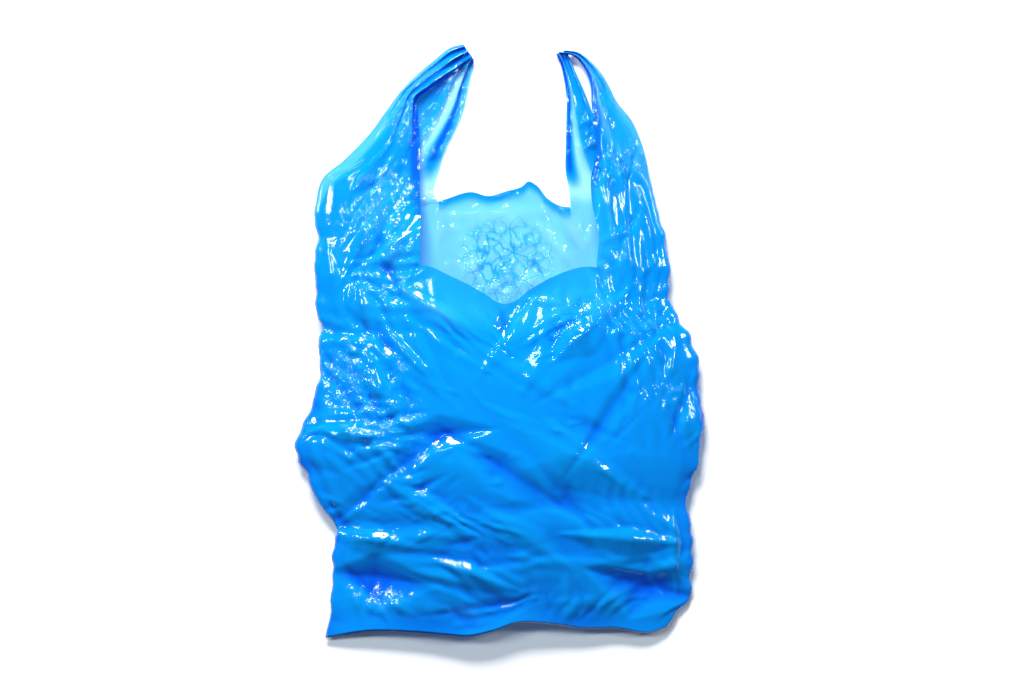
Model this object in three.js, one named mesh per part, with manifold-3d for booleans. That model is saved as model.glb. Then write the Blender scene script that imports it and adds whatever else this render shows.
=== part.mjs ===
// A thin plastic carrier bag of the vest kind, with two loop handles and side gussets, lying on its back as it was
// put down: half full of air, its front edge sagging below its back edge, both handles leaning in.
//
// Millimetres. X runs across the bag, Y runs from the bottom seal to the handles, and +Z is up, away from what the
// bag lies on. The origin is in the middle of the bag's outline, on the surface that it lies on.
//
// The bag is one piece of blown film: a tube with a gusset down each side, sealed across the bottom and across the
// top of each handle, with the neck cut out between the handles.
import * as THREE from 'three';
import { mergeVertices } from 'three/addons/utils/BufferGeometryUtils.js';
import Module from 'manifold-3d';

const wasm = await Module();
wasm.setup();

// ---- Driving dimensions ----
const WALL = 0.8; // the film's stand-in thickness; real film is about 0.015
const BACK_LIFT = 6; // how far the back rises at the sides
const FLAT_BACK = 0.6; // how much of its width lies flat
const DOME = 0.42; // how full the front is: 0.5 is an ellipse
const SEAL = 9; // how far the film stays closed at the bottom and at the handle tops
const ABOVE = 90; // higher than any of the film, for cuts that go right through
const BELOW = -10;
const FRONT_STEPS = 20; // steps across the front of a section
const BACK_STEPS = 10;
const BODY_ROWS = 22;
const HANDLE_ROWS = 11;

// Stations up the body, from the bottom seal to the neck: [y, left edge, right edge, height of the front].
const BODY = [
  [-250, -147, 138, 3.2],
  [-236, -145, 148, 17],
  [-219, -141, 159, 27],
  [-185, -140, 162, 35],
  [-157, -138, 160, 38],
  [-132, -156, 158, 41],
  [-109, -165, 163, 43],
  [-88, -171, 169, 45],
  [-59, -160, 171, 46],
  [-22, -151, 165, 46],
  [15, -152, 149, 44],
  [55, -157, 142, 40],
  [93, -156, 135, 34],
  [118, -154, 131, 30],
  [136, -147, 127, 26],
];

// Stations up each handle, from the shoulder to the top seal: [outer x, outer y, inner x, inner y, height].
const LEFT_HANDLE = [
  [-153, 84, -62, 84, 24],
  [-153, 118, -52, 118, 30],
  [-134, 158, -49, 159, 26],
  [-110, 181, -37, 179, 20],
  [-84, 210, -28, 202, 17],
  [-62, 232, -22, 223, 14],
  [-45, 245, -20, 236, 9],
  [-35, 250, -20, 242, 4],
];
const RIGHT_HANDLE = [
  [134, 84, 62, 84, 22],
  [131, 118, 56, 113, 29],
  [121, 158, 54, 160, 25],
  [107, 191, 53, 190, 20],
  [89, 217, 51, 221, 16],
  [76, 234, 47, 237, 10],
  [62, 246, 44, 244, 4],
];

// The neck, as two cut-outs seen from above. The front one's lower edge sags in a V; both are open at the top.
const FRONT_NECK = [
  [-67, 60], [-59, 61], [-33, 48], [4, 30], [24, 39], [45, 50], [66, 59], [88, 59], [85, 120], [82, 160],
  [78, 196], [74, 226], [58, 234], [54, 262], [-18, 262], [-34, 226], [-68, 203], [-68, 130],
];
const BACK_NECK = [
  [-57, 124], [-50, 117], [-24, 124], [-10, 121], [10, 127], [25, 133], [38, 122], [54, 113], [60, 117],
  [54, 160], [54, 200], [44, 262], [-10, 262], [-21, 240], [-30, 200], [-46, 160],
];
// Where the right handle's front and back straps lie apart, there is nothing between them.
const RIGHT_HANDLE_GAP = [[61, 231], [74, 226], [78, 192], [72, 208], [64, 222]];

// Gussets: how far each side is folded in, at stations up the body: [y, depth].
const GUSSET = [[-250, 34], [-219, 32], [-150, 26], [-88, 20], [-22, 20], [40, 18], [90, 6], [136, 3]];
const GUSSET_MOUTH = 4; // height of the fold's opening at the bag's side
const GUSSET_TIP = 0.4; // height of the gap inside the fold, at its tip

// ---- Curves through stations ----

// One named value of a list of stations, as a smooth function of the first value in each.
function profile(stations, column) {
  const points = stations.map((s) => new THREE.Vector2(s[0], s[column]));
  return (at) => {
    let i = points.findIndex((p) => p.x >= at);
    if (i <= 0) i = at > points[0].x ? points.length - 1 : 1;
    const [before, after] = [points[i - 1], points[i]];
    const share = THREE.MathUtils.clamp((at - before.x) / (after.x - before.x), 0, 1);
    const eased = THREE.MathUtils.lerp(share, share * share * (3 - 2 * share), 0.4);
    return THREE.MathUtils.lerp(before.y, after.y, eased);
  };
}

// Rows evenly spaced along the stations of a handle, on smooth curves through both of its edges.
function handleRows(stations, rows) {
  const outer = new THREE.CatmullRomCurve3(stations.map(([x, y]) => new THREE.Vector3(x, y, 0)));
  const inner = new THREE.CatmullRomCurve3(stations.map(([, , x, y, h]) => new THREE.Vector3(x, y, h)));
  return Array.from({ length: rows + 1 }, (_, i) => {
    const b = inner.getPoint(i / rows);
    return { a: outer.getPoint(i / rows), b: new THREE.Vector3(b.x, b.y, 0), height: b.z };
  });
}

// Rows up the body. A share of them is crowded near the bottom, where the front rises steeply.
function bodyRows(rows) {
  const [left, right, height] = [1, 2, 3].map((column) => profile(BODY, column));
  const depth = profile(GUSSET, 1);
  const [low, high] = [BODY[0][0], BODY[BODY.length - 1][0]];
  return Array.from({ length: rows + 1 }, (_, i) => {
    const y = THREE.MathUtils.lerp(low, high, (i / rows) ** 1.15);
    const [a, b] = [left, right].map((edge) => new THREE.Vector3(edge(y), y, 0));
    return { a, b, height: height(y), fold: depth(y) };
  });
}

// ---- Solids ----

// A closed solid through rings that all have the same number of points, with flat ends.
function loft(rings) {
  const count = rings[0].length;
  const positions = rings.flat().flatMap((p) => [p.x, p.y, p.z]);
  const faces = [];
  for (let j = 0; j + 1 < rings.length; j++) {
    for (let i = 0; i < count; i++) {
      const [p, q] = [j * count + i, j * count + ((i + 1) % count)];
      faces.push(p, q, q + count, p, q + count, p + count);
    }
  }
  // Each end is cut into triangles in its own plane.
  const end = (ring, base, flip) => {
    const [across, up] = planeOf(ring);
    const flat = ring.map((p) => new THREE.Vector2(p.dot(across), p.dot(up)));
    const turned = THREE.ShapeUtils.isClockWise(flat);
    for (const [u, v, w] of THREE.ShapeUtils.triangulateShape(flat, [])) {
      const [a, b, c] = [u, v, w].map((k) => base + k);
      faces.push(...(flip === turned ? [a, b, c] : [a, c, b]));
    }
  };
  end(rings[0], 0, true);
  end(rings[rings.length - 1], (rings.length - 1) * count, false);
  const solid = solidOf(positions, faces);
  return solid.volume() > 0 ? solid : solidOf(positions, faces.toReversed());
}

// Two directions in the plane of an upright ring: along the ground, and up.
function planeOf(ring) {
  const far = ring.reduce((most, p) => (p.distanceTo(ring[0]) > most.distanceTo(ring[0]) ? p : most));
  const across = new THREE.Vector3().subVectors(far, ring[0]).setZ(0).normalize();
  return [across, new THREE.Vector3(0, 0, 1)];
}

function solidOf(positions, faces) {
  const geometry = new THREE.BufferGeometry();
  geometry.setAttribute('position', new THREE.Float32BufferAttribute(positions, 3));
  geometry.setIndex(faces);
  return toManifold(geometry);
}

function toManifold(geometry, closest = 1e-4) {
  const bare = geometry.clone();
  bare.deleteAttribute('normal');
  bare.deleteAttribute('uv');
  const merged = mergeVertices(bare, closest);
  const mesh = new wasm.Mesh({
    numProp: 3,
    vertProperties: merged.attributes.position.array,
    triVerts: new Uint32Array(merged.index.array),
  });
  return new wasm.Manifold(mesh);
}

// The film's section between the points a and b: a domed front, a back that lies flat and lifts at its sides, and a
// fold into each side. The inner face is the same section, moved in by the film's thickness.
function section({ a, b, height, fold = 0 }, inner = false) {
  const film = inner ? WALL : 0;
  const half = a.distanceTo(b) / 2;
  const reach = half - 2.2 * film; // the inner face stops short of the sharp edge at each side
  const across = new THREE.Vector3().subVectors(b, a).normalize();
  const at = (x, z) => new THREE.Vector3().addVectors(a, b).multiplyScalar(0.5).addScaledVector(across, x).setZ(z);
  const steps = (n, from, to) => Array.from({ length: n + 1 }, (_, i) => Math.cos(THREE.MathUtils.lerp(from, to, i / n)));

  const lift = Math.min(height * 0.3, BACK_LIFT);
  const mouth = fold ? Math.min(GUSSET_MOUTH / 2, height * 0.06) : 0;
  const backAt = (x) => (lift + mouth) * (Math.max(Math.abs(x) / half - FLAT_BACK, 0) / (1 - FLAT_BACK)) ** 2;
  const rim = inner && !fold ? backAt(reach) + 1.1 * film : lift + 3 * mouth + film;
  const front = steps(FRONT_STEPS, 0, Math.PI)
    .map((u) => at(u * reach, rim + (height - film - rim) * (1 - u ** 2) ** DOME));
  if (!fold) {
    const back = steps(BACK_STEPS, Math.PI, 2 * Math.PI).slice(1, -1);
    return [...front, ...back.map((u) => at(u * reach, backAt(u * reach) + film))];
  }
  const middle = lift + 2 * mouth; // height of the fold
  const tip = half - fold - film;
  const low = inner ? 0.93 * half : half; // where the fold's lower leaf meets the back
  const leaf = Math.max(lift + mouth - film, backAt(low) + film + 0.05);
  const side = (s) => [
    at(s * tip, middle + GUSSET_TIP / 2 + film),
    at(s * tip, middle - GUSSET_TIP / 2 - film),
    ...(inner ? [at(s * low, leaf)] : []),
  ];
  const back = steps(BACK_STEPS, Math.PI, 2 * Math.PI).map((u) => at(u * low, backAt(u * low) + film));
  return [...front, ...side(-1), ...back, ...side(1).toReversed()];
}

// A cut with an outline seen from above, between two heights.
function prism(outline, low, high) {
  const shape = new THREE.Shape(outline.map(([x, y]) => new THREE.Vector2(x, y)));
  const geometry = new THREE.ExtrudeGeometry(shape, { depth: high - low, bevelEnabled: false });
  geometry.translate(0, 0, low);
  return toManifold(geometry);
}

// The rows of a film tube's inner face, without those in the seals at its ends.
function innerRows(rows, sealedStart, sealedEnd) {
  const length = (row, from) => row.a.clone().add(row.b).sub(from.a).sub(from.b).length() / 2;
  return rows.filter((row) => {
    const fromStart = !sealedStart || length(row, rows[0]) > SEAL;
    const fromEnd = !sealedEnd || length(row, rows[rows.length - 1]) > SEAL;
    return fromStart && fromEnd;
  });
}

// The slot that parts a handle's front strap from its back strap along the outer side.
function handSlot(stations) {
  const rings = handleRows(stations, 8).slice(2, 7).map(({ a, b, height }) => {
    const out = new THREE.Vector3().subVectors(a, b).normalize();
    const near = new THREE.Vector3().copy(a).addScaledVector(out, -0.4 * a.distanceTo(b));
    const far = new THREE.Vector3().copy(a).addScaledVector(out, 12);
    const [low, high] = [Math.min(height * 0.3, BACK_LIFT) * 0.5 + WALL, Math.max(height * 0.55, WALL + 3)];
    const corners = [[near, low], [far, low], [far, high], [near, high]];
    return corners.map(([p, z]) => new THREE.Vector3(p.x, p.y, z));
  });
  return loft(rings);
}

// ---- The bag ----

function tube(rows, inner = false) {
  return loft(rows.map((row) => section(row, inner)));
}

function bag() {
  const body = bodyRows(BODY_ROWS);
  const handles = [LEFT_HANDLE, RIGHT_HANDLE].map((stations) => handleRows(stations, HANDLE_ROWS));
  const outside = [body, ...handles].map((rows) => tube(rows));
  const hollows = [innerRows(body, true, false), ...handles.map((rows) => innerRows(rows, false, true))];
  const join = (solids) => solids.reduce((made, solid) => made.add(solid));
  const cuts = [
    join(hollows.map((rows) => tube(rows, true))),
    ...[LEFT_HANDLE, RIGHT_HANDLE].map(handSlot),
    prism(FRONT_NECK, WALL + 0.3, ABOVE),
    prism(BACK_NECK, BELOW, ABOVE),
    prism(RIGHT_HANDLE_GAP, BELOW, ABOVE),
  ];
  return settled(settled(cuts.reduce((made, cut) => made.subtract(cut), join(outside))));
}

// The main body of a solid, without the slivers and near-doubled points that a cut can leave.
function settled(solid) {
  const merged = toManifold(toGeometry(solid.simplify(0.05)), 0.01);
  return merged.decompose().reduce((most, piece) => (piece.volume() > most.volume() ? piece : most));
}

function toGeometry(solid) {
  const { numProp, numVert, vertProperties, triVerts } = solid.getMesh();
  const positions = new Float32Array(numVert * 3);
  for (let i = 0; i < numVert; i++) {
    positions.set(vertProperties.subarray(i * numProp, i * numProp + 3), i * 3);
  }
  const geometry = new THREE.BufferGeometry();
  geometry.setAttribute('position', new THREE.BufferAttribute(positions, 3));
  geometry.setIndex(new THREE.BufferAttribute(triVerts, 1));
  geometry.computeVertexNormals();
  return geometry;
}

const film = new THREE.MeshStandardMaterial({
  color: 0x0a8de6,
  roughness: 0.25,
  metalness: 0,
  transparent: true,
  opacity: 0.8,
  side: THREE.DoubleSide,
});

const carrierBag = new THREE.Mesh(toGeometry(bag()), film);
carrierBag.name = 'bag';

const part = new THREE.Group();
part.name = 'plastic_carrier_bag';
part.add(carrierBag);

export default part;
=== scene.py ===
"""A thin plastic carrier bag with loop handles, lying on its back on a pale table, in a soft studio light.

The bag is two sheets of film, front and back, with their sides folded in for the gussets. Each sheet is a grid carried
over smooth curves. It is then given a little more film than its outline holds and is left to buckle, which makes the
soft dents and folds. Straight creases are added to those: large ones in set places, and small ones at random.
"""

import bpy
import numpy as np
from mathutils import Matrix


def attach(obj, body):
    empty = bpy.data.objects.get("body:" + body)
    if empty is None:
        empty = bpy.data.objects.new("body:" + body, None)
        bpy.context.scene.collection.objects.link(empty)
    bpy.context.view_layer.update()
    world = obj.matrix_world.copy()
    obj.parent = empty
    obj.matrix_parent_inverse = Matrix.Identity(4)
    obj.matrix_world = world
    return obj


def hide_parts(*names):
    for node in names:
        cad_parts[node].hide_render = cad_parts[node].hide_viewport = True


bl_info = {
    "name": "Plastic carrier bag",
    "version": (1, 0, 0),
    "blender": (4, 5, 0),
    "location": "View3D > Sidebar > Carrier bag",
    "description": "Builds a laid-down film carrier bag with its folds, and a pale studio round it",
    "category": "Add Mesh",
}

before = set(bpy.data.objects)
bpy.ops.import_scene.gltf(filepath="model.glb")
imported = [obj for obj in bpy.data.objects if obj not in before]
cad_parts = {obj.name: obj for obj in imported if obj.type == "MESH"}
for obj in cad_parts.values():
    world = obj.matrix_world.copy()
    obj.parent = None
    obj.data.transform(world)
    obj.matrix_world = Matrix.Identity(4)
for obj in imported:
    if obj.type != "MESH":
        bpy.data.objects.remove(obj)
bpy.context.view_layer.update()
MM = 0.001

# ---- Where the bag's edges lie: (x, y) in millimetres ----

# Both sides, from the bottom seal up to where the handles begin.
LEFT_SIDE = [
    (-147, -251), (-142, -218), (-139, -198), (-141, -178), (-136, -158), (-146, -145), (-157, -127),
    (-163, -115), (-172, -89), (-163, -67), (-155, -45), (-151, -23), (-152, -2), (-151, 4), (-153, 19),
    (-154, 37), (-157, 55), (-157, 64),
]
RIGHT_SIDE = [
    (140, -242), (151, -227), (161, -215), (160, -195), (162, -171), (160, -155), (157, -133), (163, -118),
    (169, -95), (171, -65), (168, -40), (165, -13), (160, 3), (151, 15), (142, 33), (142, 57),
]
LEFT_SHOULDER = [(-157, 64), (-154, 86), (-155, 106)]
RIGHT_SHOULDER = [(142, 57), (141, 71), (137, 89), (133, 98), (131, 110)]
BOTTOM = [
    (-147, -251), (-133, -248), (-116, -245), (-72, -245), (-45, -247), (-28, -248), (-5, -243), (12, -237),
    (43, -238), (69, -242), (96, -242), (126, -246), (140, -242),
]
FRONT_MOUTH = [
    (-67, 62), (-61, 61), (-43, 53), (-22, 43), (-13, 38), (4, 30), (9, 31), (28, 43), (55, 56), (71, 60), (81, 60),
]
BACK_NECK = [
    (-53, 116), (-46, 118), (-24, 124), (-10, 121), (6, 125), (19, 129), (24, 133), (30, 130), (40, 119),
    (55, 112), (60, 112),
]

# Each strap, from the body to the top seal: the outer edge and the inner edge, side by side.
LEFT_FRONT_STRAP = [
    ((-157, 64), (-67, 62)), ((-154, 86), (-67, 84)), ((-155, 109), (-67, 105)), ((-149, 135), (-68, 126)),
    ((-131, 151), (-68, 147)), ((-109, 174), (-68, 168)), ((-94, 195), (-69, 187)), ((-82, 211), (-69, 202)),
    ((-69, 224), (-58, 211)), ((-56, 235), (-45, 220)), ((-42, 246), (-34, 227)), ((-31, 249), (-22, 236)),
]
LEFT_BACK_STRAP = [
    ((-155, 106), (-53, 116)), ((-143, 130), (-57, 126)), ((-125, 147), (-53, 141)), ((-105, 168), (-47, 160)),
    ((-91, 185), (-38, 178)), ((-80, 198), (-31, 195)), ((-69, 212), (-27, 212)), ((-54, 227), (-24, 226)),
    ((-31, 249), (-22, 236)),
]
RIGHT_FRONT_STRAP = [
    ((142, 57), (81, 60)), ((137, 89), (83, 88)), ((131, 114), (78, 114)), ((126, 135), (77, 135)),
    ((120, 162), (82, 160)), ((111, 184), (79, 181)), ((98, 201), (77, 199)), ((90, 217), (76, 214)),
    ((81, 230), (71, 228)), ((67, 242), (61, 239)), ((56, 244), (47, 241)),
]
RIGHT_BACK_STRAP = [
    ((131, 110), (60, 112)), ((126, 126), (59, 125)), ((110, 147), (56, 143)), ((91, 168), (56, 164)),
    ((79, 189), (56, 187)), ((73, 205), (56, 202)), ((66, 221), (54, 219)), ((61, 232), (51, 232)),
    ((56, 244), (47, 241)),
]

LEAF = 38  # width of each folded-in gusset leaf
STRAP_LEAF_SHARE = 0.62  # the most of a strap's width that its leaf may take
SEAM_HEIGHT = 5  # height of the gusset's inner fold

# Heights in millimetres. The first two go by share of the way from the bottom seal to the mouth, and the rest by share
# of the way from the mouth to the straps' top seals.
TOP_HEIGHTS = [(0, 17), (0.08, 20), (0.2, 27), (0.35, 34), (0.5, 40), (0.72, 41), (0.88, 37), (1, 32)]
RIM_HEIGHTS = [(0, 4), (0.1, 6), (0.3, 9), (1, 10)]
FRONT_STRAP_HEIGHTS = [(0, 12), (0.4, 10), (0.8, 7), (1, 5)]
FRONT_STRAP_ARCH = [(0, 8), (0.5, 6), (1, 1.5)]
BACK_STRAP_HEIGHTS = [(0, 1), (0.5, 1.8), (1, 3)]

# Grid steps: across a gusset leaf, the left strap, the neck and the right strap, and along the sides, the shoulders
# and the straps above them. Each is a multiple of 4, so that coarser grids share its points.
LEAF_STEPS, LEFT_STEPS, NECK_STEPS, RIGHT_STEPS = 16, 44, 64, 32
SIDE_STEPS, SHOULDER_STEPS, FRONT_STRAP_STEPS, BACK_STRAP_STEPS = 152, 24, 88, 72

# ---- Where the film has slack: (x, y, half length, half width, direction of the folds in degrees, share of slack) ----
FRONT_SLACK = [
    (-120, -35, 60, 45, -42, 0.02),
    (-92, 55, 30, 30, 20, 0.02),
    (-110, 105, 40, 26, 60, 0.03),
    (115, 30, 26, 45, 86, 0.03),
    (-20, -185, 60, 25, -22, 0.03),
    (55, -225, 50, 20, 60, 0.03),
    (100, -150, 60, 40, -60, 0.02),
]
BACK_SLACK = [(60, 85, 26, 34, 60, 0.03), (-80, 150, 50, 40, 50, 0.03)]
STRAY_PATCHES = 110  # small patches of slack strewn over each sheet besides

# ---- Where the film was crushed: (x, y, half length, half width, direction in degrees, share) ----
FRONT_CRUSH = [
    (-108, -35, 62, 42, -45, 1.0),
    (-100, -85, 50, 20, -5, 0.9),
    (-92, 55, 34, 30, 60, 0.8),
    (-100, 115, 40, 26, 50, 1.0),
    (-80, 190, 20, 40, 50, 0.9),
    (102, 150, 14, 60, 98, 1.2),
    (110, 80, 22, 30, 90, 0.4),
    (57, 13, 36, 15, 40, 1.1),
    (120, 20, 26, 24, 90, 0.8),
    (160, -45, 12, 60, 90, 0.65),
    (-95, -140, 50, 26, 40, 0.6),
    (-30, -165, 50, 26, -25, 0.6),
    (75, -225, 55, 16, 0, 0.7),
    (-95, -225, 55, 18, 0, 0.6),
    (120, -185, 40, 20, -20, 0.4),
]
BACK_CRUSH = [
    (5, 68, 48, 44, 0, 1.3),
    (62, 90, 20, 34, 60, 0.3),
    (-45, 170, 30, 60, -20, 0.5),
    (62, 170, 20, 60, 90, 0.5),
]

# The way the creases run, in degrees, round each of these places.
GRAIN = [
    (-125, -20, -60), (-60, -35, -52), (-100, -88, -8), (-70, -125, 40), (-20, -185, -22), (-110, -215, -60),
    (100, 20, 78), (155, -60, 85), (60, 10, 40), (100, -175, -15), (75, -225, 70), (-100, 100, 62),
    (-70, 200, 40), (102, 150, 95), (20, -80, -38), (-140, 60, -70), (110, 80, 60),
]

# ---- Single large folds: (x, y, half length, half width, direction in degrees, height of the ridge) ----
FRONT_FOLDS = [
    (-50, -78, 45, 16, 5, -6.0),
    (0, -105, 75, 18, -33, -5.0),
    (-75, -100, 45, 14, 35, -5.0),
    (60, -95, 90, 26, -30, 4.5),
    (66, 3, 50, 23, 42, 5.5),
    (95, -15, 70, 18, 30, -3.0),
    (4, 10, 26, 9, -80, -4.0),
    (-93, 55, 24, 10, -60, -4.5),
    (-45, 20, 60, 12, -32, 4.0),
    (-105, 5, 55, 14, -40, -4.0),
    (-100, -42, 60, 12, -52, 4.0),
    (-70, -20, 50, 9, -50, 3.5),
    (-125, -78, 45, 9, -6, 4.0),
    (-25, -194, 46, 9, -20, 5.0),
    (-108, -166, 52, 14, -10, 5.0),
    (-105, -199, 50, 27, -6, -8.5),
    (-60, -140, 60, 14, -30, 4.0),
    (55, -132, 50, 14, -50, -2.5),
    (110, -166, 58, 14, -5, 6.0),
    (118, -204, 58, 28, -16, -11.0),
    (30, -170, 60, 20, -35, 3.5),
    (146, -170, 45, 7, -88, 4.0),
    (138, -20, 40, 7, -85, -3.0),
    (110, 60, 60, 14, 100, 3.5),
    (92, 120, 60, 8, 98, 4.0),
    (118, 130, 50, 8, 108, -3.0),
    (-115, 80, 50, 10, 60, 4.0),
    (-95, 95, 45, 8, 66, -3.5),
    (-140, 55, 45, 10, -80, 3.0),
    (0, -222, 60, 12, 8, -2.5),
]
BACK_FOLDS = [
    (5, 108, 60, 12, 3, 3.0),
    (62, 92, 34, 9, -62, 4.0),
    (48, 80, 40, 8, -50, 3.0),
    (-52, 90, 30, 8, 80, 2.5),
]

# ---- Small random folds: (tries, half lengths, half widths as shares of those, steepness, chance outside the crushed
# places, spread of directions in degrees, share of valleys) ----
FRONT_STREWN = [
    (190, (30, 75), (0.12, 0.25), 0.28, 0.5, 25, 0.5),
    (1300, (12, 34), (0.1, 0.25), 0.45, 0.1, 20, 0.45),
    (2800, (5, 14), (0.2, 0.45), 0.36, 0.04, 30, 0.45),
]
BACK_STREWN = [
    (700, (8, 22), (0.2, 0.5), 0.4, 0.08, 50, 0),
    (3600, (5, 10), (0.5, 0.9), 0.3, 0.03, 90, 0),
]
STREWN_OVER = (178, 252)  # half width and half length of the area they fall on
LEAST_HALF_WIDTH = 2.6  # narrower folds than this don't show on the grid
MOST_SKEW, MOST_LARGE_SKEW = 0.55, 0.3  # how far off centre a fold's top may be

# ---- Buckling, on each grid from coarse to fine: (stride, stiffness against bending, strength of the bed, height of
# the random ripples it starts from, share of slack everywhere) ----
LEVELS = [
    (4, 0.15, 0.0008, 1.5, 0.004),
    (2, 0.12, 0.002, 0.5, 0.006),
    (1, 0.05, 0.004, 0.15, 0.008),
]
ROUNDS = 300  # steps on each grid
DAMPING = 0.93  # share of its speed that the film keeps from step to step
HOLD = 0.6  # strength that keeps a fully held point in place
BED_SHARES = np.array([0.3, 0.3, 1])  # the bed's strength sideways and upwards
FRONT_LOWEST, BACK_LOWEST = 0.5, 0.25  # least height of each sheet over the table

# Pairs of each point with its neighbour across, along and on both diagonals, as slices of the grid, with how strongly
# each pair holds its length.
EVERY, FIRST, LATER = slice(None), slice(None, -1), slice(1, None)
STRAIGHT_LINKS = [((EVERY, FIRST), (EVERY, LATER), 0.2), ((FIRST, EVERY), (LATER, EVERY), 0.2)]
LINKS = STRAIGHT_LINKS + [((FIRST, FIRST), (LATER, LATER), 0.09), ((FIRST, LATER), (LATER, FIRST), 0.09)]

# Puckers along the side folds: size in millimetres, columns they fade over, draws for the rows of a sheet, and weights
# that smooth the draws.
PUCKER, PUCKER_COLUMNS, PUCKER_DRAWS = 1.5, 5, 400
PUCKER_BLUR = [0.1, 0.2, 0.3, 0.4, 0.3, 0.2, 0.1]

# Seeds of the random draws: front and back, and for the puckers left and right.
FRONT_BUCKLE_SEED, BACK_BUCKLE_SEED = 11, 12
FRONT_CREASE_SEED, BACK_CREASE_SEED = 21, 22
PUCKER_SEEDS = (31, 32)

# ---- The film's skin ----
CRUSHED, FILM_DEPTH_AND_SHADE = "crushed", "film_depth_and_shade"  # names of the mesh's two fields
DEEPEST = 0.92  # the deepest colour a place may have
# How many of each pattern go into a metre.
BEND_SCALE, NET_SCALE, CLUSTER_SCALE, RIDGE_SCALE, CELL_SCALE = 60.0, 100.0, 38.0, 75.0, 330.0
MOST_SHINE = 0.25  # the most of the light that the skin may reflect

# ---- The studio: lengths in metres ----
TABLE_HALF = 6
CAMERA_X, CAMERA_Y = 0.0101, -0.0013
WHITE, COOL = (1, 1, 1), (0.8, 0.9, 1)
# Each light points at the middle of the table: (name, place, width, height, watts, colour).
LIGHTS = [
    ("key_softbox", (-0.3, 1.75, 1.25), 0.9, 0.45, 84, WHITE),
    ("spark", (-0.5, 0.75, 1.9), 0.34, 0.22, 8, COOL),
    ("left_softbox", (-1.6, 0.5, 1.5), 0.4, 0.25, 17, COOL),
    ("right_softbox", (1.6, 0.6, 1.5), 0.4, 0.25, 15, COOL),
]
ROOM_COLOUR, ROOM_STRENGTH = (0.7, 0.85, 1, 1), 0.11


def smooth(x, low, high):
    """0 below low, 1 above high, and an eased rise between: s * s * (3 - 2 * s)."""
    s = np.clip((x - low) / (high - low), 0, 1)
    return s * s * (3 - 2 * s)


def along(points, shares):
    """Points at the given shares of a curve's length. The curve passes through every point, as a Hermite curve whose
    slope at each is that of the line between its two neighbours."""
    p = np.array(points, float)
    reach = np.concatenate([[0], np.cumsum(np.linalg.norm(np.diff(p, axis=0), axis=1))])
    slope = np.gradient(p, reach, axis=0)
    t = np.asarray(shares, float) * reach[-1]
    i = np.clip(np.searchsorted(reach, t) - 1, 0, len(reach) - 2)
    h = (reach[i + 1] - reach[i])[..., None]
    s = ((t - reach[i])[..., None]) / h
    return (
        (2 * s**3 - 3 * s**2 + 1) * p[i] + (s**3 - 2 * s**2 + s) * h * slope[i]
        + (3 * s**2 - 2 * s**3) * p[i + 1] + (s**3 - s**2) * h * slope[i + 1]
    )


def table(rows, at):
    """A value for each point of at, read off rows of (place, value) and eased between them."""
    place, value = np.array(rows, float).T
    i = np.clip(np.searchsorted(place, at, side="right") - 1, 0, len(place) - 2)
    share = smooth(at, place[i], place[i + 1])
    return value[i] + (value[i + 1] - value[i]) * share


def bell(x, middle, width):
    """1 at the middle, falling off to both sides: exp(-((x - middle) / width) ** 2)."""
    return np.exp(-(((x - middle) / width) ** 2))


def unit(v):
    """Vectors along the last axis, scaled to length 1."""
    return v / np.maximum(np.linalg.norm(v, axis=-1, keepdims=True), 1e-9)


# ---- The two sheets, before they buckle ----


def layout(front):
    """Row and column numbers of a sheet's parts. The front's mouth is cut at the end of its sides, and the back's neck
    at the end of its shoulders, which is higher."""
    inner_left = LEAF_STEPS + LEFT_STEPS
    inner_right = inner_left + NECK_STEPS
    right = inner_right + RIGHT_STEPS
    mouth = SIDE_STEPS + (0 if front else SHOULDER_STEPS)
    shoulder = SIDE_STEPS + SHOULDER_STEPS
    top = shoulder + (FRONT_STRAP_STEPS if front else BACK_STRAP_STEPS)
    return {
        "left": LEAF_STEPS, "inner_left": inner_left, "inner_right": inner_right, "right": right,
        "columns": right + LEAF_STEPS + 1, "mouth": mouth, "shoulder": shoulder, "top": top,
    }


def side_points(side, shoulder):
    """Points along one side of the bag, at the rows of its sides and shoulders."""
    low = along(side, np.linspace(0, 1, SIDE_STEPS + 1))
    high = along(shoulder, np.linspace(0, 1, SHOULDER_STEPS + 1))
    return np.concatenate([low, high[1:]])


def pucker(points, part):
    """Small puckers along both side folds: sideways bends of about 1 mm that fade over a few columns."""
    column = np.arange(points.shape[1])[None]
    row = np.arange(points.shape[0])[:, None]
    for seed, edge in zip(PUCKER_SEEDS, (part["left"], part["right"])):
        rng = np.random.default_rng(seed)
        bends = np.convolve(rng.normal(size=PUCKER_DRAWS), PUCKER_BLUR, "same")[row]
        share = bell(column, edge, PUCKER_COLUMNS) * smooth(row, 0, 8) * (1 - smooth(row, 150, 200))
        points[..., 0] += PUCKER * bends * share


def body_points(mouth_edge, left, right):
    """The sheet below its mouth, as a patch between four curves: each point is the sum of the two ruled surfaces
    through opposite curves, less the flat one through the four corners."""
    rows = len(left)
    across = [
        along([left[-1], mouth_edge[0]], np.linspace(0, 1, LEFT_STEPS + 1)),
        along(mouth_edge, np.linspace(0, 1, NECK_STEPS + 1))[1:],
        along([mouth_edge[-1], right[-1]], np.linspace(0, 1, RIGHT_STEPS + 1))[1:],
    ]
    top = np.concatenate(across)[None]
    u = np.linspace(0, 1, top.shape[1])[None, :, None]
    v = np.linspace(0, 1, rows)[:, None, None]
    bottom = along(BOTTOM, u[0, :, 0])[None]
    corners = (1 - v) * ((1 - u) * bottom[:, :1] + u * bottom[:, -1:]) + v * ((1 - u) * top[:, :1] + u * top[:, -1:])
    return (1 - u) * left[:, None] + u * right[:, None] + (1 - v) * bottom + v * top - corners


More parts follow.
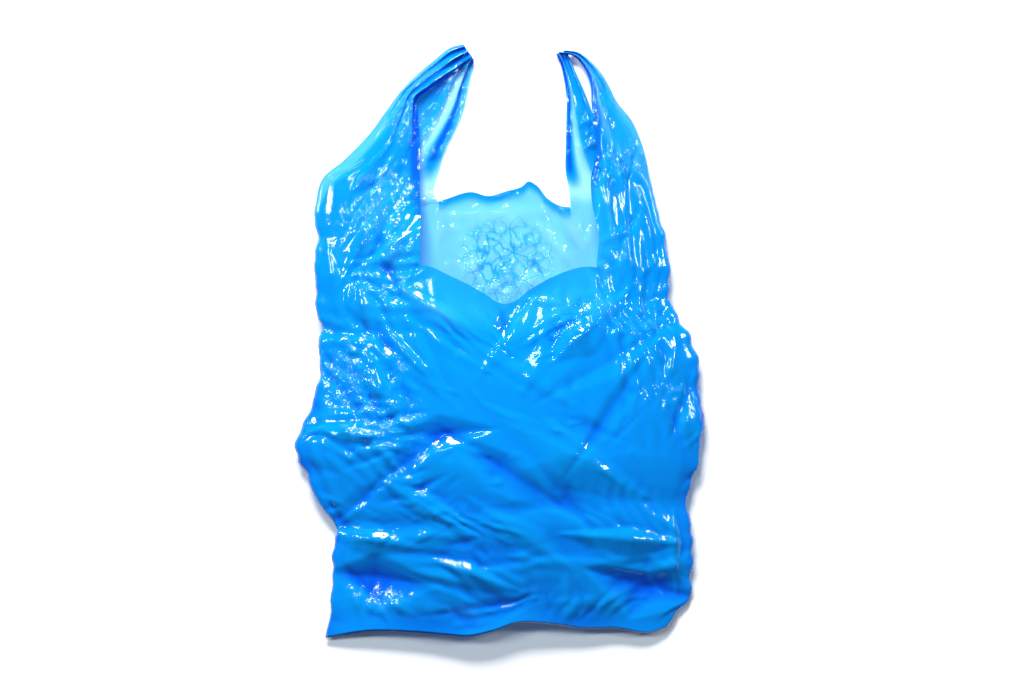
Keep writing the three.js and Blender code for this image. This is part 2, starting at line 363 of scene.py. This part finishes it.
def strap_points(stations, columns, shoulder_rows, strap_rows):
    """A strap, ruled between its outer and its inner edge. Its first rows match those of the shoulder, which is as
    far as the stations' third pair on the front, and their first on the back."""
    pairs = np.array(stations, float).reshape(-1, 4)
    reach = np.concatenate([[0], np.cumsum(np.linalg.norm(np.diff(pairs, axis=0), axis=1))])
    turn = reach[2] / reach[-1] if shoulder_rows else 0
    shares = np.concatenate([np.linspace(0, turn, shoulder_rows + 1), np.linspace(turn, 1, strap_rows + 1)[1:]])
    rails = along(pairs, shares)
    t = np.linspace(0, 1, columns + 1)[None, :, None]
    return rails[:, None, :2] * (1 - t) + rails[:, None, 2:] * t


def pleat(across, t, folds, lean, rise):
    """Shifts for folded pleats across a strap: a share lean of a fold's width sideways and rise upwards, both times
    the sine of the folds. Past a lean of 1 the film doubles back over itself in a Z."""
    wave = np.sin(2 * np.pi * folds * t)
    return across * (lean * wave / (2 * np.pi * folds))[..., None], rise * wave


def flat_sheet(front):
    """A sheet's points (rows, columns, 3) in millimetres, its live points, and its part numbers. The heights are the
    smooth ones: a dome for the front, and close to the table for the back."""
    part = layout(front)
    rows, columns = part["top"] + 1, part["columns"]
    points = np.zeros((rows, columns, 3))
    left = side_points(LEFT_SIDE, LEFT_SHOULDER)
    right = side_points(RIGHT_SIDE, RIGHT_SHOULDER)
    m = part["mouth"]
    body = slice(part["left"], part["right"] + 1)
    mouth_edge = FRONT_MOUTH if front else BACK_NECK
    points[: m + 1, body, :2] = body_points(mouth_edge, left[: m + 1], right[: m + 1])

    straps = (LEFT_FRONT_STRAP, RIGHT_FRONT_STRAP) if front else (LEFT_BACK_STRAP, RIGHT_BACK_STRAP)
    shoulder_rows = SHOULDER_STEPS if front else 0
    strap_rows = part["top"] - part["shoulder"]
    made = strap_points(straps[0], LEFT_STEPS, shoulder_rows, strap_rows)
    points[m:, part["left"] : part["inner_left"] + 1, :2] = made
    made = strap_points(straps[1], RIGHT_STEPS, shoulder_rows, strap_rows)
    points[m:, part["inner_right"] : part["right"] + 1, :2] = made[:, ::-1]

    heights(points, part, front)
    add_pleats(points, part, front)
    add_leaves(points, part, front, left, right)

    live = np.ones((rows, columns), bool)
    live[m + 1 :, part["inner_left"] + 1 : part["inner_right"]] = False
    return points, live, part


def strap_share(points, part):
    """How far up its strap each row is: 0 at the mouth and below it, and 1 at the top seal."""
    rows = np.arange(len(points))[:, None]
    return np.clip((rows - part["mouth"]) / (part["top"] - part["mouth"]), 0, 1)


def strap_columns(part):
    """The first and last column of the left strap and of the right one."""
    return (part["left"], part["inner_left"]), (part["inner_right"], part["right"])


def heights(points, part, front):
    """Sets the height of each point between the two sides. The front is rim + (top - rim) * (1 - q ** 2.6) ** 0.95,
    with q from -1 to 1 across the bag; the back is close to the table and turns up at its sides."""
    rows = np.arange(len(points))[:, None]
    v = rows / part["mouth"]
    q = np.linspace(-1, 1, part["right"] - part["left"] + 1)[None]
    seal = 4 + 13 * (1 - q**2) + 1.5 * np.sin(7 * q + 1)
    near_seal = 1 - smooth(v, 0, 0.1)
    if front:
        top, rim = table(TOP_HEIGHTS, v), table(RIM_HEIGHTS, v)
        z = rim + (top - rim) * (1 - np.abs(q) ** 2.6) ** 0.95
        z = z * (1 - near_seal) + near_seal * (seal + 0.4)
    else:
        z = 0.7 + 1.6 * np.abs(q) ** 8
        z = z + near_seal * (seal - z)
    w = strap_share(points, part)
    share = smooth(w, 0, 0.45)
    at_mouth = z[np.minimum(rows[:, 0], part["mouth"])]
    for first, last in strap_columns(part):
        hump = np.sin(np.pi * np.linspace(0, 1, last - first + 1)[None])
        if front:
            strap = table(FRONT_STRAP_HEIGHTS, w) + table(FRONT_STRAP_ARCH, w) * hump**0.8
        else:
            strap = table(BACK_STRAP_HEIGHTS, w) + 1.2 * hump * w
        cut = slice(first - part["left"], last - part["left"] + 1)
        z[:, cut] = np.where(w > 0, at_mouth[:, cut] * (1 - share) + strap * share, z[:, cut])
    points[:, part["left"] : part["right"] + 1, 2] = z


def add_pleats(points, part, front):
    """Gathers each strap into pleats that deepen towards its top seal: three on the left and two on the right."""
    deep = smooth(strap_share(points, part), 0.35, 0.95) * (1.5 if front else 1.3)
    for (first, last), folds, turn in zip(strap_columns(part), (3, 2), (1, -1)):
        t = np.linspace(0, 1, last - first + 1)[None]
        across = points[:, last : last + 1, :2] - points[:, first : first + 1, :2]
        shift, rise = pleat(across, t, folds, deep, 1.6 * deep * turn)
        points[:, first : last + 1, :2] += shift
        points[:, first : last + 1, 2] += rise


def add_leaves(points, part, front, left, right):
    """Folds the sides in: each leaf runs from the side to the gusset's inner seam, which both sheets share."""
    rows = len(points)
    for edge, side, other, sign in ((part["left"], left, right, -1), (part["right"], right, left, 1)):
        rim = points[:, edge]
        inward = unit(other - side)
        tips = np.zeros((rows, 3))
        shared = len(side)
        tips[:shared, :2] = side + inward * LEAF
        tips[:shared, 2] = SEAM_HEIGHT
        # Near the bottom seal the tips follow the seal's curve.
        share = LEAF / np.linalg.norm(other[0] - side[0])
        on_seal = along(BOTTOM, np.array([share if sign < 0 else 1 - share]))[0]
        tips[:shared, :2] += (on_seal - tips[0, :2]) * (1 - smooth(np.arange(shared), 0, 40))[:, None]
        low = smooth(np.arange(shared), 0, 14)
        seal_z = points[0, edge, 2]
        tips[:shared, 2] = seal_z * (1 - low) + SEAM_HEIGHT * low
        inner = part["inner_left"] if sign < 0 else part["inner_right"]
        across = points[shared:, inner] - points[shared:, edge]
        width = np.linalg.norm(across[:, :2], axis=1, keepdims=True)
        reach = np.minimum(LEAF, STRAP_LEAF_SHARE * width)
        tips[shared:, :2] = rim[shared:, :2] + unit(across[:, :2]) * reach
        tips[shared:, 2] = rim[shared:, 2] + (-1.5 if front else 1.5)
        fade = 1 - smooth(np.arange(rows - shared), 0, 24)[:, None]
        tips[shared:] += (tips[shared - 1] - tips[shared]) * fade
        k = (np.arange(1, LEAF_STEPS + 1) / LEAF_STEPS)[None, :, None]
        leaf = rim[:, None] * (1 - k) + tips[:, None] * k
        turn = 1.1 * np.minimum(1, np.arange(rows) / 12)[:, None] * (1 - k[..., 0]) ** 2
        leaf[..., 2] += -turn if front else turn
        if sign < 0:
            points[:, :edge] = leaf[:, ::-1]
        else:
            points[:, edge + 1 :] = leaf


# ---- Creases the film has kept from being crushed ----


def kites(x, y, folds):
    """Heights of straight folds. Each is a low pyramid on a kite-shaped foot, with two ridges that cross at its top:
    height * (1 - |a| - |b|), with a along the fold and b across it, both 1 at its ends. Skews set its top off
    centre."""
    total = np.zeros(x.shape)
    for cx, cy, length, width, degrees, height, skew_a, skew_b in folds:
        turn = np.radians(degrees)
        a = ((x - cx) * np.cos(turn) + (y - cy) * np.sin(turn)) / length
        b = (-(x - cx) * np.sin(turn) + (y - cy) * np.cos(turn)) / width
        a = a / np.where(a > 0, 1 + skew_a, 1 - skew_a)
        b = b / np.where(b > 0, 1 + skew_b, 1 - skew_b)
        total += height * np.maximum(0, 1 - np.abs(a) - np.abs(b))
    return total


def strewn(rng, spots, count, sizes, slender, steep, even, spread, down):
    """Random folds, closer together where the film was crushed, and running roughly along its grain. Each is as high
    as its half width times a share of steep; down is the share of them that are valleys."""
    found = []
    guides = np.array(GRAIN, float)
    half_x, half_y = STREWN_OVER
    for _ in range(count):
        x, y = rng.uniform(-half_x, half_x), rng.uniform(-half_y, half_y)
        if rng.uniform() > patch(np.array(x), np.array(y), spots, even):
            continue
        nearest = np.argmin(np.hypot(guides[:, 0] - x, guides[:, 1] - y))
        length = np.exp(rng.uniform(*np.log(sizes)))
        width = max(length * rng.uniform(*slender), LEAST_HALF_WIDTH)
        height = width * steep * rng.uniform(0.25, 1) * (-1 if rng.uniform() < down else 1)
        turn = rng.normal(guides[nearest, 2], spread)
        found.append((x, y, length, width, turn, height, *rng.uniform(-MOST_SKEW, MOST_SKEW, 2)))
    return found


def patch(x, y, spots, even):
    """A share for each point: even, or more inside any spot (x, y, half width, half height, degrees, share)."""
    share = np.full(x.shape, float(even))
    for cx, cy, half_a, half_b, degrees, amount in spots:
        turn = np.radians(degrees)
        a = (x - cx) * np.cos(turn) + (y - cy) * np.sin(turn)
        b = -(x - cx) * np.sin(turn) + (y - cy) * np.cos(turn)
        share = np.maximum(share, amount * np.exp(-((a / half_a) ** 2 + (b / half_b) ** 2) ** 2))
    return share


def crushing(points, front):
    """How badly each place of a sheet was crushed: 0 is smooth and 1 is crinkled all over."""
    return patch(points[..., 0], points[..., 1], FRONT_CRUSH if front else BACK_CRUSH, 0.15)


def crease(points, front):
    """Heights of a sheet's creases: its large folds, and random ones of several sizes."""
    if front:
        seed, large, small, spots = FRONT_CREASE_SEED, FRONT_FOLDS, FRONT_STREWN, FRONT_CRUSH
    else:
        seed, large, small, spots = BACK_CREASE_SEED, BACK_FOLDS, BACK_STREWN, BACK_CRUSH
    rng = np.random.default_rng(seed)
    folds = [(*fold, *rng.uniform(-MOST_LARGE_SKEW, MOST_LARGE_SKEW, 2)) for fold in large]
    for settings in small:
        folds += strewn(rng, spots, *settings)
    return kites(points[..., 0], points[..., 1], folds)


# ---- Buckling ----


def stray_slack(rng):
    """Small patches of slack strewn over the sheet, with folds that run roughly down to the right on the left half
    and steeper on the right half."""
    found = []
    for _ in range(STRAY_PATCHES):
        x, y = rng.uniform(-165, 165), rng.uniform(-245, 200)
        half_length = rng.uniform(12, 48)
        lean = -40 if x < 0 else -65
        turn = rng.normal(lean, 38)
        half_width = half_length * rng.uniform(0.25, 0.6)
        found.append((x, y, half_length, half_width, turn, rng.uniform(0.01, 0.04)))
    return found


def slack_at(place, along_link, patches, even):
    """How much longer the film is than the smooth surface, at each link: even everywhere, and more across the folds
    of each patch, by amount * exp(-(x / half length) ** 2 - (y / half width) ** 2) * cosine ** 2 of the angle."""
    more = np.full(place.shape[:-1], float(even))
    direction = unit(along_link[..., :2])
    for x, y, half_length, half_width, degrees, amount in patches:
        turn = np.radians(degrees)
        fold = np.array([np.cos(turn), np.sin(turn)])
        across = np.array([-fold[1], fold[0]])
        offset = place[..., :2] - (x, y)
        reach = (offset @ fold / half_length) ** 2 + (offset @ across / half_width) ** 2
        more += amount * np.exp(-reach) * (direction @ across) ** 2
    return more


def blur(field, times):
    """Each value averaged with its four neighbours, a number of times."""
    for _ in range(times):
        p = np.pad(field, ((1, 1), (1, 1)) + ((0, 0),) * (field.ndim - 2), mode="edge")
        field = (p[:-2, 1:-1] + p[2:, 1:-1] + p[1:-1, :-2] + p[1:-1, 2:] + field) / 5
    return field


def bend(shift, live):
    """How far each point's shift is from the mean of its live neighbours' shifts."""
    total = np.zeros_like(shift)
    for one, two, _ in STRAIGHT_LINKS:
        both = (live[one] & live[two])[..., None]
        gap = (shift[two] - shift[one]) * both
        total[one] += gap
        total[two] -= gap
    return total / 4


def relax(base, live, held, patches, level, lowest, shift, rng):
    """Lets the film find its folds: every link pulls or pushes towards its own length, bends resist, and a soft bed
    holds the film near the smooth surface. It moves in small damped steps."""
    stiffness, bed, ripple, even = level
    pull = []
    for one, two, strength in LINKS:
        line = base[two] - base[one]
        size = np.linalg.norm(line, axis=-1)
        more = slack_at((base[one] + base[two]) / 2, line, patches, even)
        pull.append((one, two, size * (1 + more), strength * (live[one] & live[two])))
    noise = blur(rng.normal(size=base.shape[:2]), 3)
    shift = shift.copy()
    shift[..., 2] += ripple * noise / noise.std() * (1 - held)
    points = base + shift
    speed = np.zeros_like(points)
    hold = np.maximum(held[..., None] * HOLD, bed * BED_SHARES)
    for _ in range(ROUNDS):
        push = hold * (base - points)
        for one, two, rest, strength in pull:
            gap = points[two] - points[one]
            size = np.sqrt(np.einsum("...k,...k", gap, gap)) + 1e-9
            force = (strength * (1 - rest / size))[..., None] * gap
            push[one] += force
            push[two] -= force
        push -= stiffness * bend(bend(points - base, live), live)
        speed = DAMPING * speed + push
        speed *= live[..., None]
        points += speed
        under = points[..., 2] < lowest
        points[..., 2] = np.where(under, lowest, points[..., 2])
        speed[..., 2] = np.where(under, 0, speed[..., 2])
    return points - base


def finer(field):
    """A grid twice as fine, with the values between halfway."""
    rows, columns = field.shape[:2]
    out = np.zeros((2 * rows - 1, 2 * columns - 1) + field.shape[2:])
    out[::2, ::2] = field
    out[1::2, ::2] = (field[:-1] + field[1:]) / 2
    out[:, 1::2] = (out[:, :-1:2] + out[:, 2::2]) / 2
    return out


def buckle(base, live, part, front):
    """Buckles a sheet on a coarse grid first, then on grids two and four times finer, and adds its puckers and
    creases."""
    held = np.zeros(live.shape)
    held[0] = 1
    held[:, [part["left"], part["right"]]] = 0.5
    held[: part["shoulder"] + 1, [0, -1]] = 1
    held[part["top"]] = 1
    rng = np.random.default_rng(FRONT_BUCKLE_SEED if front else BACK_BUCKLE_SEED)
    patches = (FRONT_SLACK if front else BACK_SLACK) + stray_slack(rng)
    lowest = FRONT_LOWEST if front else BACK_LOWEST
    coarsest = LEVELS[0][0]
    shift = np.zeros(base[::coarsest, ::coarsest].shape)
    for stride, *level in LEVELS:
        cut = (slice(None, None, stride), slice(None, None, stride))
        if stride < coarsest:
            shift = finer(shift)
        shift = relax(base[cut], live[cut], held[cut], patches, level, lowest, shift, rng)
    points = base + shift
    pucker(points, part)
    row = np.arange(len(points))[:, None]
    calm = smooth(row, 0, 8) * (1 - smooth(row, part["top"] - 6, part["top"]))
    points[..., 2] = np.maximum(points[..., 2] + crease(points, front) * calm, lowest)
    return points


# ---- Making the mesh ----


def grid_faces(live, numbers):
    """The grid's squares whose four corners are live, as point numbers."""
    full = live[:-1, :-1] & live[1:, :-1] & live[1:, 1:] & live[:-1, 1:]
    corners = (numbers[:-1, :-1], numbers[:-1, 1:], numbers[1:, 1:], numbers[1:, :-1])
    return np.stack([c[full] for c in corners], axis=1)


def film_mesh(name):
    """One mesh of both sheets, joined along the bottom seal and the gussets' inner seams."""
    sheets = []
    for front in (True, False):
        base, live, part = flat_sheet(front)
        sheets.append((buckle(base, live, part, front), live, part))
    (top, top_live, top_part), (under, under_live, under_part) = sheets
    top_numbers = np.arange(top_live.size).reshape(top_live.shape)
    under_numbers = top_live.size + np.arange(under_live.size).reshape(under_live.shape)
    joined = SIDE_STEPS + SHOULDER_STEPS + 1
    under_numbers[:joined, [0, -1]] = top_numbers[:joined, [0, -1]]
    under_numbers[0] = top_numbers[0]
    faces = np.concatenate([grid_faces(top_live, top_numbers), grid_faces(under_live, under_numbers)[:, ::-1]])
    points = np.concatenate([top.reshape(-1, 3), under.reshape(-1, 3)]) * MM
    used, faces = np.unique(faces, return_inverse=True)
    faces = faces.reshape(-1, 4)
    mesh = bpy.data.meshes.new(name)
    mesh.vertices.add(len(used))
    mesh.vertices.foreach_set("co", points[used].ravel())
    mesh.loops.add(faces.size)
    mesh.loops.foreach_set("vertex_index", faces.ravel().astype(np.int32))
    mesh.polygons.add(len(faces))
    mesh.polygons.foreach_set("loop_start", np.arange(0, faces.size, 4, dtype=np.int32))
    mesh.polygons.foreach_set("use_smooth", np.ones(len(faces), bool))
    mesh.update(calc_edges=True)
    mesh.validate()
    for field, values in (
        (CRUSHED, (crushing(top, True), crushing(under, False))),
        (FILM_DEPTH_AND_SHADE, (depth_and_fold_shade(top, top_part, True), depth_and_fold_shade(under, under_part, False))),
    ):
        layer = mesh.attributes.new(field, "FLOAT", "POINT")
        values = np.concatenate([grid.ravel() for grid in values])[used]
        layer.data.foreach_set("value", values.astype(np.float32))
    return mesh


def depth_and_fold_shade(points, part, front):
    """How deep the film's colour is: under 0.2 where one stretched layer shows alone, mostly 0.3 to 0.65 over the body,
    and up to 0.92 along the narrow strips where several layers are folded together.
    It is also deeper in hollows, as painted shade, and paler over ridges, as painted light."""
    y = points[..., 1]
    row = np.arange(points.shape[0])[:, None]
    column = np.arange(points.shape[1])[None]
    w = strap_share(points, part)
    # Shares of the way from each strap's outer edge to its inner one.
    left = (column - part["left"]) / LEFT_STEPS
    right = (part["right"] - column) / RIGHT_STEPS
    on_left, on_right = column <= part["inner_left"], column >= part["inner_right"]
    if front:
        depth = 0.64 - 0.12 * smooth(y, -120, 40) - 0.18 * smooth(y, 50, 130)
        depth = depth + 0.4 * bell(left, 0.95, 0.06) * smooth(w, 0.3, 0.6) * on_left
    else:
        depth = 0.6 - 0.42 * smooth(y, -10, 30) - 0.16 * smooth(w, 0, 0.12)
        strip = bell(left, 0.88, 0.09) * smooth(w, 0.15, 0.4) * on_left
        strip = np.maximum(strip, bell(right, 0.93, 0.09) * smooth(w, 0.1, 0.3) * on_right)
        strip = np.maximum(strip, bell(right, 0.3, 0.28) * smooth(w, 0.12, 0.4) * on_right)
        neck = ~on_left & ~on_right
        hem = bell(row, part["mouth"], 2.5) * neck
        depth = depth + 0.95 * strip + 0.5 * hem
    depth = depth + 0.5 * smooth(w, 0.86, 0.97)
    # Painted shade and light: the colour deepens in hollows, where shade falls in the folds, and pales over ridges,
    # where light falls on them.
    fold_shade = blur(points[..., 2], 120) - points[..., 2]
    depth = depth + (0.085 if front else 0.02) * np.clip(fold_shade, -3, 6)
    leaf = (column < part["left"]) | (column > part["right"])
    leaf_depth = 0.2 + 0.3 * smooth(w, 0.4, 0.8)
    return np.clip(np.where(leaf, leaf_depth, depth), 0, DEEPEST)


# ---- Materials ----


def linear(hex_colour):
    """A screen colour such as "#0a8de6" as linear light, and opaque."""
    c = np.array([int(hex_colour[i : i + 2], 16) / 255 for i in (1, 3, 5)])
    c = np.where(c <= 0.04045, c / 12.92, ((c + 0.055) / 1.055) ** 2.4)
    return (*c.tolist(), 1.0)


def add_node(tree, kind, settings=None, **inputs):
    """Adds a node, sets its properties from settings, and sets or links its inputs by name."""
    node = tree.nodes.new(kind)
    for key, value in (settings or {}).items():
        setattr(node, key, value)
    for key, value in inputs.items():
        numbered = key[0] == "_" and key[1:].isdigit()
        socket = node.inputs[int(key[1:]) if numbered else key.replace("_", " ")]
        if isinstance(value, bpy.types.NodeSocket):
            tree.links.new(value, socket)
        else:
            socket.default_value = value
    return node


def field_node(tree, name):
    """The value of one of the mesh's fields."""
    return add_node(tree, "ShaderNodeAttribute", {"attribute_name": name}).outputs["Fac"]


def math_node(tree, operation, *values, clamp=False):
    """The result of a sum on two or three values."""
    settings = {"operation": operation, "use_clamp": clamp}
    return add_node(tree, "ShaderNodeMath", settings, **{f"_{i}": value for i, value in enumerate(values)}).outputs[0]


def range_node(tree, value, start, end, low, high):
    """A value that goes from low to high as another goes from start to end."""
    return add_node(
        tree, "ShaderNodeMapRange", Value=value, From_Min=start, From_Max=end, To_Min=low, To_Max=high,
    ).outputs[0]


def mix_node(tree, share, first_hex, second_hex):
    """The first colour where the share is 0, and the second where it is 1."""
    return add_node(
        tree, "ShaderNodeMix", {"data_type": "RGBA"}, _0=share, _6=linear(first_hex), _7=linear(second_hex),
    ).outputs[2]


def polyethylene_film(props):
    """Blown polyethylene film with blue pigment in it: light goes through it and is tinted once for each layer, and
    its smooth skin gives small sharp glints."""
    material = bpy.data.materials.new("blown_polyethylene_film_blue")
    material.use_nodes = True
    tree = material.node_tree
    tree.nodes.clear()
    place = add_node(tree, "ShaderNodeTexCoord").outputs["Object"]
    crushed = field_node(tree, CRUSHED)
    # Noise bends the patterns, so that they don't repeat.
    drift = add_node(tree, "ShaderNodeTexNoise", Vector=place, Scale=BEND_SCALE, Detail=3.0)
    offset = add_node(tree, "ShaderNodeVectorMath", {"operation": "SCALE"}, _0=drift.outputs["Color"], Scale=0.02)
    bent = add_node(tree, "ShaderNodeVectorMath", {"operation": "ADD"}, _0=place, _1=offset.outputs[0]).outputs[0]
    # A net of darker lines, 10 mm apart, where the film was crushed worst: partly the creases' own mark and partly
    # painted shade along them.
    cells = add_node(tree, "ShaderNodeTexVoronoi", {"feature": "DISTANCE_TO_EDGE"}, Vector=bent, Scale=NET_SCALE)
    line = range_node(tree, cells.outputs["Distance"], 0.0, 0.1, 0.6, 0.0)
    worst = math_node(tree, "SUBTRACT", crushed, 0.7, clamp=True)
    crease_lines_and_shade = math_node(tree, "MULTIPLY", line, worst)
    deep = math_node(tree, "ADD", crease_lines_and_shade, field_node(tree, FILM_DEPTH_AND_SHADE), clamp=True)
    # Relief for the glints alone: ridges 13 mm apart and cells of 3 mm, drawn out one way, in clusters 26 mm apart.
    drawn_out = add_node(
        tree, "ShaderNodeMapping", {"vector_type": "TEXTURE"}, Vector=bent, Rotation=(0, 0, -0.9), Scale=(2.8, 1, 1),
    ).outputs[0]
    ridges = add_node(
        tree, "ShaderNodeTexNoise", {"noise_type": "RIDGED_MULTIFRACTAL"}, Vector=drawn_out, Scale=RIDGE_SCALE,
        Detail=3.0, Roughness=0.55, Lacunarity=2.3,
    )
    fine = add_node(tree, "ShaderNodeTexVoronoi", {"distance": "MANHATTAN"}, Vector=drawn_out, Scale=CELL_SCALE)
    height = math_node(tree, "MULTIPLY_ADD", fine.outputs["Distance"], 0.5, ridges.outputs["Fac"])
    spread = add_node(tree, "ShaderNodeTexNoise", Vector=place, Scale=CLUSTER_SCALE, Detail=2.0)
    cluster = range_node(tree, spread.outputs["Fac"], 0.46, 0.58, 0.16, 1.0)
    relief = math_node(tree, "MULTIPLY", height, math_node(tree, "MULTIPLY", cluster, crushed))
    bump = add_node(tree, "ShaderNodeBump", Height=relief, Strength=1.0, Distance=0.0011)
    # Light either passes straight through with a tint, or meets the pigment.
    # Both colours follow the depth field, so they also carry the painted shade in hollows and along the crease lines.
    clear = add_node(tree, "ShaderNodeBsdfTransparent", Color=mix_node(tree, deep, props.pale_hex, props.tint_hex))
    paint = mix_node(tree, deep, props.pigment_hex, props.deep_hex)
    pigment = add_node(tree, "ShaderNodeBsdfPrincipled", Base_Color=paint, Roughness=0.6, Specular_IOR_Level=0.0)
    haze = range_node(tree, deep, 0.0, 0.6, 0.04, props.haze)
    body = add_node(tree, "ShaderNodeMixShader", Fac=haze, _1=clear.outputs[0], _2=pigment.outputs[0])
    shine = add_node(tree, "ShaderNodeBsdfGlossy", Color=(1, 1, 1, 1), Roughness=0.1, Normal=bump.outputs[0])
    grazing = add_node(tree, "ShaderNodeFresnel", IOR=1.45)
    edge = math_node(tree, "MINIMUM", grazing.outputs[0], MOST_SHINE)
    skin = add_node(tree, "ShaderNodeMixShader", Fac=edge, _1=body.outputs[0], _2=shine.outputs[0])
    add_node(tree, "ShaderNodeOutputMaterial", Surface=skin.outputs[0])
    return material


def table_paint():
    """Matt white laminate, lit so strongly that it shows as pure white."""
    material = bpy.data.materials.new("white_laminate")
    material.use_nodes = True
    skin = material.node_tree.nodes["Principled BSDF"]
    skin.inputs["Base Color"].default_value = linear("#f4f4f4")
    skin.inputs["Roughness"].default_value = 0.9
    skin.inputs["Specular IOR Level"].default_value = 0.1
    return material


# ---- Add-on ----


class CarrierBagSettings(bpy.types.PropertyGroup):
    """What a user may change about the bag."""

    # The film takes more of Tint and Deep pigment where its depth field is high. That field includes painted shade in
    # hollows and along the crease lines, and painted light over ridges.
    tint_hex: bpy.props.StringProperty(
        name="Tint", description="Colour of light after one deep layer of film", default="#4aaeff"
    )
    pale_hex: bpy.props.StringProperty(
        name="Pale tint", description="Colour of light after one thin, stretched layer of film", default="#d0f4ff"
    )
    pigment_hex: bpy.props.StringProperty(
        name="Pigment", description="Colour that the pigment scatters where the film is thin", default="#00c4ff"
    )
    deep_hex: bpy.props.StringProperty(
        name="Deep pigment", description="Colour that the pigment scatters where layers gather", default="#0042d0"
    )
    haze: bpy.props.FloatProperty(
        name="Haze", description="Share of the light that the pigment scatters", default=0.86, min=0, max=1,
        subtype="FACTOR",
    )


class StudioSettings(bpy.types.PropertyGroup):
    """What a user may change about the studio."""

    lens: bpy.props.FloatProperty(name="Lens", description="Focal length", default=85, min=20, max=200, unit="CAMERA")
    height: bpy.props.FloatProperty(
        name="Camera height", description="Height of the camera over the table", default=2.04, min=0.5, max=10,
        unit="LENGTH",
    )


class OBJECT_OT_carrier_bag_film(bpy.types.Operator):
    """Makes the bag's film, folds and all"""

    bl_idname = "object.carrier_bag_film"
    bl_label = "Bag film"
    bl_options = {"REGISTER", "UNDO"}

    def execute(self, context):
        film = bpy.data.objects.new("bag_film", film_mesh("bag_film"))
        context.collection.objects.link(film)
        film.data.materials.append(polyethylene_film(context.scene.carrier_bag))
        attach(film, "root")
        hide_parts("bag")
        return {"FINISHED"}


class OBJECT_OT_carrier_bag_studio(bpy.types.Operator):
    """Makes the white table, the lights and the camera"""

    bl_idname = "object.carrier_bag_studio"
    bl_label = "Studio"
    bl_options = {"REGISTER", "UNDO"}

    def execute(self, context):
        props = context.scene.carrier_studio
        camera = bpy.data.objects.new("camera", bpy.data.cameras.new("camera"))
        camera.data.lens = props.lens
        camera.location = (CAMERA_X, CAMERA_Y, props.height)
        context.collection.objects.link(camera)
        context.scene.camera = camera

        corners = [(TABLE_HALF * x, TABLE_HALF * y, 0) for x, y in ((-1, -1), (1, -1), (1, 1), (-1, 1))]
        mesh = bpy.data.meshes.new("table_top")
        mesh.from_pydata(corners, [], [(0, 1, 2, 3)])
        top = bpy.data.objects.new("table_top", mesh)
        context.collection.objects.link(top)
        top.data.materials.append(table_paint())

        for name, place, width, height, power, colour in LIGHTS:
            light = bpy.data.lights.new(name, "AREA")
            light.shape = "RECTANGLE"
            light.size, light.size_y, light.energy, light.color = width, height, power, colour
            lamp = bpy.data.objects.new(name, light)
            lamp.matrix_world = aimed(place)
            context.collection.objects.link(lamp)
        world = bpy.data.worlds.new("white_room")
        world.use_nodes = True
        background = world.node_tree.nodes["Background"]
        background.inputs["Color"].default_value = ROOM_COLOUR
        background.inputs["Strength"].default_value = ROOM_STRENGTH
        context.scene.world = world
        context.scene.view_settings.view_transform = "Standard"
        context.scene.cycles.transparent_max_bounces = 24
        return {"FINISHED"}


def aimed(place):
    """A light's placing at place, pointing its -Z axis at the middle of the table."""
    back = unit(np.array(place, float))
    side = unit(np.cross((0, 0, 1), back))
    up = np.cross(back, side)
    m = np.eye(4)
    m[:3, 0], m[:3, 1], m[:3, 2], m[:3, 3] = side, up, back, place
    return Matrix(m.tolist())


class VIEW3D_PT_carrier_bag(bpy.types.Panel):
    """Lists the bag's settings and the steps that build it"""

    bl_label = "Carrier bag"
    bl_idname = "VIEW3D_PT_carrier_bag"
    bl_space_type = "VIEW_3D"
    bl_region_type = "UI"
    bl_category = "Carrier bag"

    def draw(self, context):
        for owner, names in (
            (context.scene.carrier_bag, ("tint_hex", "pale_hex", "pigment_hex", "deep_hex", "haze")),
            (context.scene.carrier_studio, ("lens", "height")),
        ):
            for name in names:
                self.layout.prop(owner, name)
        for operator in STEPS:
            self.layout.operator(operator)


STEPS = ("object.carrier_bag_film", "object.carrier_bag_studio")
CLASSES = (
    CarrierBagSettings, StudioSettings, OBJECT_OT_carrier_bag_film, OBJECT_OT_carrier_bag_studio,
    VIEW3D_PT_carrier_bag,
)


def register():
    for cls in CLASSES:
        bpy.utils.register_class(cls)
    bpy.types.Scene.carrier_bag = bpy.props.PointerProperty(type=CarrierBagSettings)
    bpy.types.Scene.carrier_studio = bpy.props.PointerProperty(type=StudioSettings)


def unregister():
    del bpy.types.Scene.carrier_studio
    del bpy.types.Scene.carrier_bag
    for cls in reversed(CLASSES):
        bpy.utils.unregister_class(cls)


def main():
    register()
    bpy.ops.object.carrier_bag_film()
    bpy.ops.object.carrier_bag_studio()


if __name__ == "__main__":
    main()
